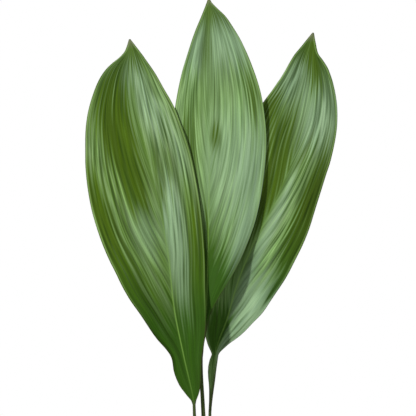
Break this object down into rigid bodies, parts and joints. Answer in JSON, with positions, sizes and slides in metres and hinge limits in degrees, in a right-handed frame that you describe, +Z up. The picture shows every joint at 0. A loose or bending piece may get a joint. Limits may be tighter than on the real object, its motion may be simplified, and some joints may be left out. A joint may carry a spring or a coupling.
{
  "type": "potted cast iron plant",
  "caption": "Upright house plant with long ribbed leaves on slim stalks, growing from a creeping rhizome in a soil-filled clay pot that stands on its flat foot.",
  "frame": {"origin": "centre of the pot's foot, on the surface that it stands on", "axes": "+Z up along the pot's axis, -Y towards the side that the upper faces of the leaves look to, +X to the right as seen from there"},
  "size_m": [0.279, 0.176, 0.714],
  "materials": {
    "fired_clay": "matte",
    "potting_soil": "matte",
    "rhizome_skin": "matte",
    "leaf": "satin",
    "dry_sheath": "matte"
  },
  "bodies": {
    "root": {"pot": "fired_clay", "soil": "potting_soil", "rhizome": "rhizome_skin", "leaf_left": "leaf", "leaf_centre": "leaf", "leaf_right": "leaf", "sheath_left_inner": "dry_sheath", "sheath_left_outer": "dry_sheath", "sheath_centre_inner": "dry_sheath", "sheath_centre_outer": "dry_sheath", "sheath_right_inner": "dry_sheath", "sheath_right_outer": "dry_sheath"}
  },
  "joints": []
}
